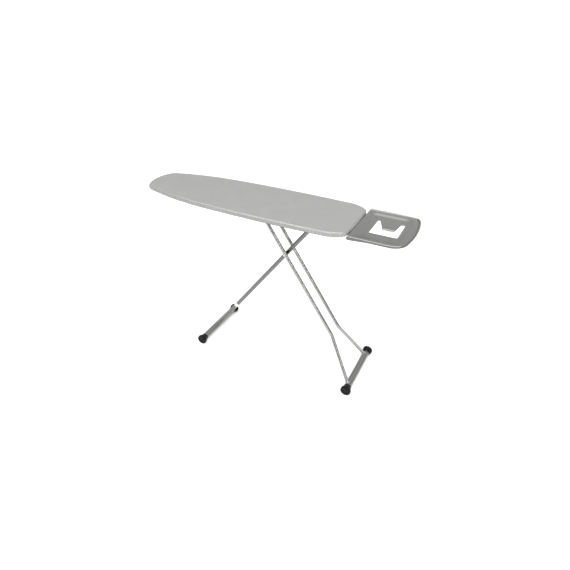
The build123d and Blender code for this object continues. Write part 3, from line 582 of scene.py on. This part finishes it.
def make_cover():
    """One sheet: the flat top, the rounded edge and side, and a gathered hem turned under."""
    edge = board_edge(COVER_STEP)
    count = len(edge)
    steps = [(edge[(i + 1) % count][0] - edge[i][0]).length for i in range(count)]
    places = list(accumulate(steps, initial=0.0))
    length = places.pop()
    gathers = round(length / GATHER_PITCH)
    bend = [
        min(1.0, 0.10 * (edge[(i + 3) % count][1] - edge[i - 3][1]).length / (6 * steps[i]))
        for i in range(count)
    ]
    rows = cover_profile()
    points, faces = filled(edge, TOP_RING, TOP_GRID)
    vertices = [Vector((p.x, p.y, COVER_HIGH.z)) for p in points]
    folds = [gather(p, n, places[i], gathers, length) for i, (p, n) in enumerate(edge)]
    start = len(vertices)
    for inset, height, amount in rows[1:]:
        for i, (p, n) in enumerate(edge):
            size = amount * (0.35 + 0.65 * bend[i]) * folds[i]
            at = p - n * (inset - 0.0012 * size)
            vertices.append(Vector((at.x, at.y, height - 0.0017 * size)))
    for i in range(count):
        faces.append((i, (i + 1) % count, start + (i + 1) % count, start + i))
    faces += ring_faces(start, count, len(rows) - 1)
    for v in vertices:
        if v.z > COVER_HIGH.z - 0.004:
            v.z += 0.00035 * noise.noise(v * 14.0) + 0.00018 * noise.noise(v * 45.0)
    cover = piece_from("fitted_cover", vertices, faces, SLOT_MATERIALS["cover_fabric"])
    outward(cover)
    spare = [0.0] * start + [amount for _, _, amount in rows[1:] for _ in range(count)]
    top = start + TOP_ROWS * count
    casing = len(vertices) - CASING_ROWS * count
    held = [1.0] * top + [0.0] * (casing - top) + [1.0] * CASING_ROWS * count
    settle(cover, held, spare, edge)
    hem_start = len(vertices) - HEM_ROWS * count
    cover.data.materials.append(EXTRA_MATERIALS["hem"])
    cover.data.materials.append(EXTRA_MATERIALS["shaded_hem"])
    # Painted shade: the rows under the rounded lower edge, and the lower side at the tail beside
    # the tray, take the dark shade material
    shaded_hem = range(start + SHADED_HEM_ROWS.start * count, start + SHADED_HEM_ROWS.stop * count)
    for face in cover.data.polygons:
        first = min(face.vertices)
        low_side = face.center.z < COVER_HIGH.z - COVER_ROUND
        at_tail = low_side and face.center.x > COVER_HIGH.x - 0.003
        if first >= hem_start:
            face.material_index = 1
        elif first in shaded_hem or (at_tail and first < shaded_hem.start):
            face.material_index = 2
    skin = cover.modifiers.new("cloth", "SOLIDIFY")
    skin.thickness = CLOTH
    skin.offset = -1.0
    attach(cover, "board")
    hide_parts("cover")
    return cover, edge


def make_hem_stitches(cover, edge):
    """A line of separate stitches beside the casing, lying on the settled cloth."""
    vertices, faces = [], []
    count = len(edge)
    row = len(cover.data.vertices) - STITCH_ROW * count
    line = [v.co.copy() for v in cover.data.vertices[row:row + count]]
    radius, sides = 0.00035, 6
    rings = ((0.1, 0.0008), (0.25, 0.0), (0.5, -0.0002), (0.75, 0.0), (0.9, 0.0008))
    for i in range(count):
        start, run = line[i], line[(i + 1) % count] - line[i]
        out = edge[i][1]
        base = len(vertices)
        for share, lift in rings:
            centre = start + run * share
            for k in range(sides):
                angle = 2 * pi * k / sides
                at = centre.xy + out * radius * cos(angle)
                height = centre.z + lift + radius * sin(angle)
                vertices.append((at.x, at.y, height))
        faces += ring_faces(base, sides, len(rings))
    stitches = piece_from("hem_stitches", vertices, faces, EXTRA_MATERIALS["thread"])
    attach(stitches, "board")


# ---------------------------------------------------------------- foam and mesh
def make_foam():
    """Foam slab with soft edges, lying on the mesh."""
    edge = board_edge(0.008)
    inset = FOAM_LOW.x - COVER_LOW.x
    rows = [(0.020, FOAM_HIGH.z), (0.012, FOAM_HIGH.z - 0.0002)]
    for angle in map(radians, (15, 40, 65, 90)):
        rows.append((0.006 * (1 - sin(angle)), FOAM_HIGH.z - 0.005 * (1 - cos(angle))))
    rows += [(0.0004, FOAM_LOW.z + 0.0012), (0.0015, FOAM_LOW.z + 0.0002), (0.020, FOAM_LOW.z)]
    points, top = filled(edge, inset + rows[0][0], 0.02)
    vertices = [Vector((p.x, p.y, FOAM_HIGH.z)) for p in points]
    faces = list(top)
    count = len(edge)
    start = len(vertices)
    for extra, height in rows[1:]:
        for p, n in edge:
            at = p - n * (inset + extra)
            sag = 0.0002 * noise.noise(Vector((p.x, p.y, height)) * 30)
            vertices.append(Vector((at.x, at.y, height - abs(sag))))
    faces += [(i, (i + 1) % count, start + (i + 1) % count, start + i) for i in range(count)]
    faces += ring_faces(start, count, len(rows) - 1)
    last = start + (len(rows) - 2) * count
    base = len(vertices) - count
    vertices += [Vector((p.x, p.y, FOAM_LOW.z)) for p in points[count:]]
    index = [last + i if i < count else base + i for i in range(len(points))]
    faces += [tuple(index[k] for k in reversed(f)) for f in top]
    pad = piece_from("foam_layer", vertices, faces, SLOT_MATERIALS["foam"])
    outward(pad)
    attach(pad, "board")
    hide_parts("foam_pad")


def make_mesh_panel():
    """Expanded steel: diamonds whose strands tilt, cut to the board's outline over the rim."""
    inset = PANEL_LOW.x - COVER_LOW.x + 0.002
    border = Contour([(p - n * inset, n) for p, n in board_edge(0.003)])
    half_x, half_y = DIAMOND
    vertices, faces, corners = [], [], {}

    def corner(column, row):
        """Shared knuckle of the lattice, drawn in to the sheet's edge where it lies outside."""
        if (column, row) not in corners:
            x, y = PANEL_LOW.x + column * half_x, row * half_y
            away, near = border.nearest(x, y)
            if away > 0:
                x, y = near.x, near.y
            corners[column, row] = len(vertices)
            vertices.append(Vector((x, y, PANEL_LOW.z)))
        return corners[column, row]

    columns = ceil((PANEL_HIGH.x - PANEL_LOW.x) / half_x)
    rows = ceil(PANEL_HIGH.y / half_y)
    open_share = 1 - STRAND_SHARE
    tilt = 0.0004
    for row in range(-rows, rows + 1):
        for column in range(columns + 1):
            if (row + column) % 2:
                continue
            centre = Vector((PANEL_LOW.x + column * half_x, row * half_y, PANEL_LOW.z))
            if border.outside(centre.x, centre.y) > 0:
                continue
            outer = [corner(column + i, row + j) for i, j in ((-1, 0), (0, -1), (1, 0), (0, 1))]
            inner = []
            for k, lift in zip(outer, (0.0, -tilt, 0.0, tilt)):
                inner.append(len(vertices))
                vertices.append(centre + (vertices[k] - centre) * open_share + Vector((0, 0, lift)))
            for k in range(4):
                j = (k + 1) % 4
                faces.append((outer[k], outer[j], inner[j], inner[k]))
    panel = piece_from("expanded_mesh", vertices, faces, SLOT_MATERIALS["mesh_steel"], smooth=False)
    outward(panel)
    sheet = panel.modifiers.new("sheet", "SOLIDIFY")
    sheet.thickness = MESH_SHEET
    sheet.offset = 0.0
    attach(panel, "board")
    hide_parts("board_panel")


# ---------------------------------------------------------------- iron tray
def bowed(left, right, half, bow, corner, left_corner=0.0):
    """Corners (x, y, radius) of a plate whose right side is bowed, counter-clockwise."""
    lean = asin((half - corner) / (bow - corner))
    middle = right - bow
    apex = middle + bow / cos(lean)
    shoulder = middle + (bow - half * sin(lean)) / cos(lean)
    return [
        (left, -half, left_corner),
        (shoulder, -half, corner),
        (apex, 0.0, bow),
        (shoulder, half, corner),
        (left, half, left_corner),
    ]


def filleted(corners, step):
    """Closed outline as (point, outward direction) with an arc at each corner (x, y, radius)."""
    count = len(corners)
    spots = [Vector(c[:2]) for c in corners]
    arcs = []
    for i, (x, y, radius) in enumerate(corners):
        here = spots[i]
        into = (here - spots[i - 1]).normalized()
        onward = (spots[(i + 1) % count] - here).normalized()
        heading = atan2(into.y, into.x)
        turn = into.angle_signed(onward) * -1
        reach = abs(radius * tan(turn / 2))
        side = 1 if turn > 0 else -1
        centre = here - into * reach + Vector((-sin(heading), cos(heading))) * radius * side
        pieces = max(1, ceil(abs(turn) * radius / step))
        if radius and radius < 0.03:
            pieces = max(pieces, 5)
        arc = []
        for k in range(pieces + 1 if radius else 1):
            angle = heading + turn * (k / pieces if radius else 0.5)
            out = Vector((sin(angle), -cos(angle)))
            arc.append((centre + out * radius * side if radius else here, out))
        arcs.append(arc)
    outline = []
    for i, arc in enumerate(arcs):
        outline += arc
        start, end = arc[-1][0], arcs[(i + 1) % count][0][0]
        run = end - start
        out = Vector((run.y, -run.x)).normalized()
        pieces = max(1, round(run.length / step))
        outline += [(start + run * k / pieces, out) for k in range(1, pieces)]
    return outline


def opening_corners():
    """Cut-out with the tab that points from its far side to the near one."""
    near_y, base_y = OPENING_Y
    return [
        (OPENING_X[0], near_y, 0.006),
        (OPENING_X[1], near_y, 0.008),
        (OPENING_X[1], base_y, 0.0075),
        (TAB_BASE_X[1], base_y, 0.0075),
        (TAB_TIP_X[1], TAB_TIP_Y, 0.009),
        (TAB_TIP_X[0], TAB_TIP_Y, 0.009),
        (TAB_BASE_X[0], base_y, 0.0055),
        (OPENING_X[0], base_y, 0.0055),
    ]


def smooth(value):
    value = min(1.0, max(0.0, value))
    return value * value * (3 - 2 * value)


def tray_height(step):
    """Function of (x, y): the upper face of the tray's pressed sheet inside its rim."""

    def height(x, y):
        from_left = x - TRAY_LOW.x
        run = STEP_RUN + (STEP_RUN_LEFT - STEP_RUN) * smooth(1.4 - from_left / 0.045)
        run += (STEP_RUN_END - STEP_RUN) * smooth((x - OPENING_X[1] + 0.025) / 0.04)
        z = TRAY_FLOOR + (SHELF - TRAY_FLOOR) * smooth(0.5 + step.outside(x, y) / run)
        z += TRAY_LIP * smooth(1 - from_left / 0.005)
        from_tip, half_width, rise = TAB_RIDGE
        from_ridge = abs(y - TAB_TIP_Y - from_tip) / half_width
        if TAB_TIP_X[0] - 0.003 < x < TAB_TIP_X[1] + 0.003:
            z += rise * smooth(1 - from_ridge)
        return z

    return height


def tray_sheet_points(step, step_corners, hole, hole_line, rim_inset):
    """Points that the tray's sheet needs between its rim and its cut-out."""
    left, right, half = TRAY_LOW.x, TRAY_HIGH.x, TRAY_HIGH.y
    points = []
    for share in (-1.0, -0.77, -0.54, -0.27, 0.0, 0.27, 0.54, 0.77, 1.0):
        away = share * STEP_RUN / 2
        points += [p + n * away for p, n in filleted(step_corners, 0.004)]
    for away in (0.0015, 0.0035):
        points += [p + n * away for p, n in hole_line]
    for away in (0.001, 0.002, 0.0035, 0.005, 0.0075, 0.011):
        points += [Vector((left + away, y * 0.005)) for y in range(-32, 33)]
    for row in range(8):
        y = TAB_TIP_Y + 0.005 + row * 0.001
        points += [Vector((TAB_TIP_X[0] + x * 0.003, y)) for x in range(18)]
    corner = TRAY_CORNER - rim_inset
    edge = bowed(left, right - rim_inset, half - rim_inset, TRAY_BOW - rim_inset, corner)
    border = Contour(filleted(edge, 0.003))
    for row in range(-30, 31):
        for column in range(0, 44):
            p = Vector((left + (column + 0.5 * (row % 2)) * 0.006, row * 0.006))
            on_tab = TAB_TIP_X[0] - 0.004 < p.x < TAB_TIP_X[1] + 0.004 and p.y < TAB_TIP_Y + 0.014
            clear = border.outside(p.x, p.y) < -0.003 and hole.outside(p.x, p.y) > 0.0055
            if clear and not on_tab and abs(step.outside(p.x, p.y)) > STEP_RUN / 2 + 0.002:
                if p.x > left + 0.013:
                    points.append(p)
    return [p for p in points if border.outside(p.x, p.y) < -0.001 or p.x < left + 0.012]


def tray_rim_rows():
    """(inset, height, share of the skirt's rise) over the rim, from the shelf to its lower edge."""
    top, bottom = TRAY_HIGH.z, TRAY_LOW.z
    roll, under = TRAY_RIM / 2, 0.0035
    rows = [(TRAY_RIM + 0.0020, SHELF + 0.0001, 0.0), (TRAY_RIM + 0.0008, SHELF + 0.0006, 0.0)]
    rows.append((TRAY_RIM, SHELF + 0.0014, 0.0))
    for i in range(11):
        angle = pi * i / 10
        rows.append((roll + roll * cos(angle), top - roll + roll * sin(angle), 0.0))
    low = bottom + under
    rows += [(0.0, top - roll + (low - top + roll) * share, share) for share in (0.5, 1.0)]
    for i in range(1, 6):
        angle = radians(24 * i)
        rows.append((under * (1 - cos(angle)), low - under * sin(angle), 1.0))
    return rows


def make_tray():
    """Pressed sheet: rolled rim on three sides, shelf, sunk floor, cut-out with turned edges."""
    left, right, half = TRAY_LOW.x, TRAY_HIGH.x, TRAY_HIGH.y
    rim_inset = TRAY_RIM + 0.004
    rim = filleted(bowed(left, right, half, TRAY_BOW, TRAY_CORNER), 0.004)
    rim = [(p, n) for p, n in rim if p.x > left + 1e-6 or abs(abs(p.y) - half) < 1e-6]
    first = next(i for i, (p, n) in enumerate(rim) if p.y < 0 and abs(p.x - left) < 1e-6)
    rim = rim[first:] + rim[:first]
    rim[0] = (rim[0][0], Vector((0.0, -1.0)))
    rim[-1] = (rim[-1][0], Vector((0.0, 1.0)))

    bow = TRAY_BOW - STEP_INSET
    step_corners = bowed(left + STEP_LEFT, right - STEP_INSET, half - STEP_INSET, bow, 0.026, 0.020)
    step = Contour(filleted(step_corners, 0.002))
    hole_line = filleted(opening_corners(), 0.0025)
    hole = Contour(hole_line)

    inner_edge = [p - n * rim_inset for p, n in rim]
    flat_end = [Vector((left, y * 0.004)) for y in range(40, -41, -1)]
    loop = inner_edge + flat_end
    hole_start, hole_end = len(loop), len(loop) + len(hole_line)
    points = loop + [p for p, _ in hole_line]
    points += tray_sheet_points(step, step_corners, hole, hole_line, rim_inset)
    hole_ids = list(range(hole_start, hole_end))
    bounds = [tuple(range(hole_start)), tuple(hole_ids)]
    flat, _, triangles, *_ = delaunay_2d_cdt(points, [], bounds, 1, 1e-7)
    faces = []
    for triangle in triangles:
        middle = sum((Vector(flat[k]) for k in triangle), Vector((0, 0))) / 3
        if hole.outside(middle.x, middle.y) > 0:
            faces.append(tuple(triangle))
    height = tray_height(step)
    vertices = [Vector((p[0], p[1], height(p[0], p[1]))) for p in flat]

    def strip(edge_ids, rows, outline, closed=False):
        """Carries the sheet on from one of its edges, and returns each row's vertices."""
        made = [edge_ids]
        count = len(outline)
        for inset, z, share in rows:
            now = []
            for p, n in outline:
                rise = SKIRT_RISE * smooth((p.x - left) / SKIRT_RUN)
                now.append(len(vertices))
                at = p - n * inset
                vertices.append(Vector((at.x, at.y, z + share * rise)))
            for i in range(count if closed else count - 1):
                j = (i + 1) % count
                faces.append((made[-1][i], made[-1][j], now[j], now[i]))
            made.append(now)
        return made

    rim_faces = len(faces)
    rim_ids = strip(list(range(len(inner_edge))), tray_rim_rows(), rim)
    for end in (0, -1):
        section = [row[end] for row in rim_ids]
        faces.append(tuple(section))
        centre = sum((vertices[k] for k in section), Vector()) / len(section)
        for k in section[1:]:
            vertices[k] += (centre - vertices[k]) * 0.22
    turned = ((0.0004, 0.0002), (0.0010, 0.0009), (0.0012, 0.0025))
    lip = [(inset, TRAY_FLOOR - drop, 0.0) for inset, drop in turned]
    lip_ids = strip(hole_ids, lip, hole_line, closed=True)
    for row in lip_ids[1:]:
        for k, edge_id in zip(row, hole_ids):
            vertices[k].z += vertices[edge_id].z - TRAY_FLOOR

    tray = piece_from("pressed_tray", vertices, faces, SLOT_MATERIALS["tray_paint"])
    outward(tray)
    if tray.data.polygons[0].normal.z < 0:
        tray.data.flip_normals()
    for extra in ("rim_painted_highlight", "rim_painted_shade"):
        tray.data.materials.append(EXTRA_MATERIALS[extra])
    # Painted light on the rim: a painted highlight on its straight sides, painted shade on its
    # lower rows and skirt
    for row in range(BEAD_ROWS.start, len(tray_rim_rows())):
        for k, (_, n) in enumerate(rim[:-1]):
            face = tray.data.polygons[rim_faces + row * (len(rim) - 1) + k]
            if row not in BEAD_ROWS:
                face.material_index = 2
            elif abs(n.y) > 0.7:
                face.material_index = 1
    sheet = tray.modifiers.new("sheet", "SOLIDIFY")
    sheet.thickness = TRAY_SHEET
    sheet.offset = -1.0
    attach(tray, "board")
    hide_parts("iron_tray")


# ---------------------------------------------------------------- small metal and plastic details
def tube_along(name, path, radius, material, closed=False, sides=10):
    """Round wire along a path. Its radius is a number or a function of the point's index."""
    count = len(path)
    vertices, normal = [], None
    for i, p in enumerate(path):
        before = path[i - 1] if closed or i else path[i]
        after = path[(i + 1) % count] if closed or i < count - 1 else path[i]
        along = (after - before).normalized()
        if normal is None:
            normal = along.orthogonal().normalized()
        normal = (normal - along * normal.dot(along)).normalized()
        other = along.cross(normal)
        size = radius(i) if callable(radius) else radius
        for k in range(sides):
            angle = 2 * pi * k / sides
            vertices.append(p + (normal * cos(angle) + other * sin(angle)) * size)
    faces = ring_faces(0, sides, count)
    if closed:
        last = (count - 1) * sides
        shift = min(range(sides), key=lambda s: (vertices[last + s] - vertices[0]).length)
        faces += [
            (last + (k + shift) % sides, last + (k + 1 + shift) % sides, (k + 1) % sides, k)
            for k in range(sides)
        ]
    else:
        faces.append(tuple(reversed(range(sides))))
        faces.append(tuple(range((count - 1) * sides, count * sides)))
    piece = piece_from(name, vertices, faces, material)
    outward(piece)
    return piece


def make_even_tube(name, body, axis):
    """The CAD tube cut into short rings, so that its long narrow faces shade evenly."""
    mesh = nodes[name].data.copy()
    if "custom_normal" in mesh.attributes:
        mesh.attributes.remove(mesh.attributes["custom_normal"])
    work = bmesh.new()
    work.from_mesh(mesh)
    bmesh.ops.remove_doubles(work, verts=work.verts, dist=1e-6)
    low, high = (corner[axis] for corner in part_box(name))
    count = round((high - low) / TUBE_RING)
    normal = Vector([1.0 if i == axis else 0.0 for i in range(3)])
    for i in range(1, count):
        everything = work.verts[:] + work.edges[:] + work.faces[:]
        at = normal * (low + (high - low) * i / count)
        bmesh.ops.bisect_plane(work, geom=everything, dist=1e-6, plane_co=at, plane_no=normal)
    work.to_mesh(mesh)
    work.free()
    mesh.shade_smooth()
    mesh.set_sharp_from_angle(angle=radians(40))
    piece = bpy.data.objects.new(f"{name}_drawn", mesh)
    bpy.context.scene.collection.objects.link(piece)
    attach(piece, body)
    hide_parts(name)


def make_weld(name, tube, bar, body):
    """Rippled bead along the tube's own cut edge, where it meets its foot bar."""
    low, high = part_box(bar)
    axis, radius = (low + high) / 2, (high.z - low.z) / 2
    cut = [
        v.co
        for v in nodes[tube].data.vertices
        if abs(hypot(v.co.x - axis.x, v.co.z - axis.z) - radius) < 0.0004
    ]
    middle = sum(cut, Vector()) / len(cut)
    out = Vector((middle.x - axis.x, 0, middle.z - axis.z)).normalized()
    across = Vector((0, 1, 0))
    other = out.cross(across)
    around = {}
    bins = 40
    for p in cut:
        u, v = (p - middle).dot(across), (p - middle).dot(other)
        place = round(atan2(v, u) / (2 * pi) * bins) % bins
        if place not in around or hypot(u, v) > around[place][0]:
            around[place] = (hypot(u, v), p)
    widest = max(size for size, _ in around.values())
    ring = [around[k][1] for k in sorted(around) if around[k][0] > 0.80 * widest]
    path = []
    for i, p in enumerate(ring):
        after = ring[(i + 1) % len(ring)]
        path += [p.lerp(after, share / 3) for share in range(3)]

    def size(i):
        uneven = noise.noise(Vector((i * 0.37, axis.x, 0)))
        return 0.0019 + 0.0005 * sin(i * 1.9) + 0.0005 * uneven

    bead = tube_along(name, path, size, EXTRA_MATERIALS["weld"], closed=True)
    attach(bead, body)


def make_spring():
    """Torsion spring on the catch's shaft, with its two straight ends."""
    low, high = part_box("catch_spring")
    centre = (low + high) / 2
    wire = 0.0008
    coil = (high.z - low.z) / 2 - wire
    turns = (high.y - low.y - 2 * wire) / (2 * wire * 1.12)
    path = []
    steps = round(turns * 20)
    for i in range(steps + 1):
        angle = 2 * pi * turns * i / steps
        y = low.y + wire + (high.y - low.y - 2 * wire) * i / steps
        path.append(Vector((centre.x + coil * cos(angle), y, centre.z + coil * sin(angle))))
    first = path[0] + Vector((0, 0, -0.010))
    along = (path[-1] - path[-2]).normalized()
    path = [first, *path, path[-1] + along * 0.012]
    spring = tube_along("return_spring", path, wire, SLOT_MATERIALS["zinc_steel"], sides=8)
    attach(spring, "height_catch")
    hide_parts("catch_spring")


def make_grip():
    """Ribbed lever grip with a rounded end."""
    low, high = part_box("lever_grip")
    centre = (low + high) / 2
    radius = (high.z - low.z) / 2
    length = high.y - low.y
    steps, sides = 150, 36
    vertices = []
    for i in range(steps + 1):
        share = i / steps
        y = low.y + length * share
        end = min(y - low.y, high.y - y)
        size = radius - 0.0030 * (1 - min(1.0, end / 0.0030)) ** 2
        if 0.012 < y - low.y < length - 0.010:
            size -= 0.00045 * (1 - cos(2 * pi * (y - low.y) / 0.0042))
        for k in range(sides):
            angle = 2 * pi * k / sides
            vertices.append((centre.x + size * cos(angle), y, centre.z + size * sin(angle)))
    faces = ring_faces(0, sides, steps + 1)
    faces.append(tuple(reversed(range(sides))))
    faces.append(tuple(range(steps * sides, (steps + 1) * sides)))
    grip = piece_from("ribbed_grip", vertices, faces, SLOT_MATERIALS["black_plastic"])
    outward(grip)
    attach(grip, "height_catch")
    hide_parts("lever_grip")


# ---------------------------------------------------------------- studio
FLOOR_REACH = 900.0
SKY_RANGE = (0.20, 0.95, 0.17, 0.95)  # from this height to that one, the sky brightens this much


def make_floor():
    signs = ((-1, -1), (1, -1), (1, 1), (-1, 1))
    corners = [(x * FLOOR_REACH, y * FLOOR_REACH, 0) for x, y in signs]
    floor = piece_from("studio_floor", corners, [(0, 1, 2, 3)], floor_surface(), smooth=False)


def softbox(name, place, size, power, target=(0.0, 0.0, 0.6)):
    light = bpy.data.lights.new(name, "AREA")
    light.shape = "RECTANGLE"
    light.size, light.size_y = size
    light.energy = power
    lamp = bpy.data.objects.new(name, light)
    lamp.location = place
    lamp.rotation_mode = "QUATERNION"
    lamp.rotation_quaternion = (Vector(target) - Vector(place)).to_track_quat("-Z", "Y")
    bpy.context.scene.collection.objects.link(lamp)


def make_studio():
    make_floor()
    softbox("overhead", (0.0, 0.3, 3.4), (3.0, 2.2), 18)
    softbox("front_left", (-1.6, -2.8, 2.2), (0.7, 2.2), 3)
    softbox("front_right", (2.8, -1.6, 1.8), (0.25, 2.2), 20)
    softbox("back", (0.5, 3.2, 2.0), (2.6, 0.7), 3)
    softbox("strip", (-0.5, -1.3, 3.0), (2.0, 0.35), 20, (0.5, 0.0, 0.9))
    sun = bpy.data.lights.new("key", "SUN")
    sun.energy = 1.5
    sun.angle = radians(50)
    key = bpy.data.objects.new("key", sun)
    key.rotation_euler = (radians(28), radians(14), 0.0)
    bpy.context.scene.collection.objects.link(key)
    world = bpy.data.worlds.new("studio")
    world.use_nodes = True
    tree = world.node_tree
    direction = tree.nodes.new("ShaderNodeTexCoord")
    split = tree.nodes.new("ShaderNodeSeparateXYZ")
    tree.links.new(direction.outputs["Generated"], split.inputs[0])
    rise = tree.nodes.new("ShaderNodeMapRange")
    tree.links.new(split.outputs["Z"], rise.inputs["Value"])
    for key, value in zip(RANGE_SOCKETS, SKY_RANGE):
        rise.inputs[key].default_value = value
    background = tree.nodes["Background"]
    background.inputs["Color"].default_value = (1.0, 1.0, 1.0, 1.0)
    tree.links.new(rise.outputs["Result"], background.inputs["Strength"])
    bpy.context.scene.world = world
    bpy.context.scene.view_settings.view_transform = "Standard"


def make_camera():
    """Camera a little above the board, in front of its near tail corner, looking down along it."""
    place = Vector((1.013, -1.916, 1.807))
    yaw, pitch, roll = 0.454, -0.570, 0.020
    ahead = Vector((-sin(yaw) * cos(pitch), cos(yaw) * cos(pitch), sin(pitch)))
    right = Vector((cos(yaw), sin(yaw), 0.0))
    up = right.cross(ahead)
    rolled_right = right * cos(roll) + up * sin(roll)
    rolled_up = up * cos(roll) - right * sin(roll)
    data = bpy.data.cameras.new("camera")
    data.lens = 29.8
    data.sensor_width = 36.0
    camera = bpy.data.objects.new("camera", data)
    turn = Matrix((rolled_right, rolled_up, -ahead)).transposed()
    camera.matrix_world = Matrix.Translation(place) @ turn.to_4x4()
    bpy.context.scene.collection.objects.link(camera)
    bpy.context.scene.camera = camera


# ---------------------------------------------------------------- the whole scene
dress_cad_nodes()
make_hem_stitches(*make_cover())
make_foam()
make_mesh_panel()
make_tray()
make_spring()
make_grip()
for tube, bar, body in (
    ("outer_leg_near", "outer_foot_bar", "outer_legs"),
    ("outer_leg_far", "outer_foot_bar", "outer_legs"),
    ("inner_leg_tube", "inner_foot_bar", "inner_leg"),
):
    make_weld(f"{tube}_weld", tube, bar, body)
for tube, body, axis in (
    ("outer_leg_near", "outer_legs", 2),
    ("outer_leg_far", "outer_legs", 2),
    ("inner_leg_tube", "inner_leg", 2),
    ("outer_foot_bar", "outer_legs", 1),
    ("inner_foot_bar", "inner_leg", 1),
):
    make_even_tube(tube, body, axis)
make_studio()
make_camera()
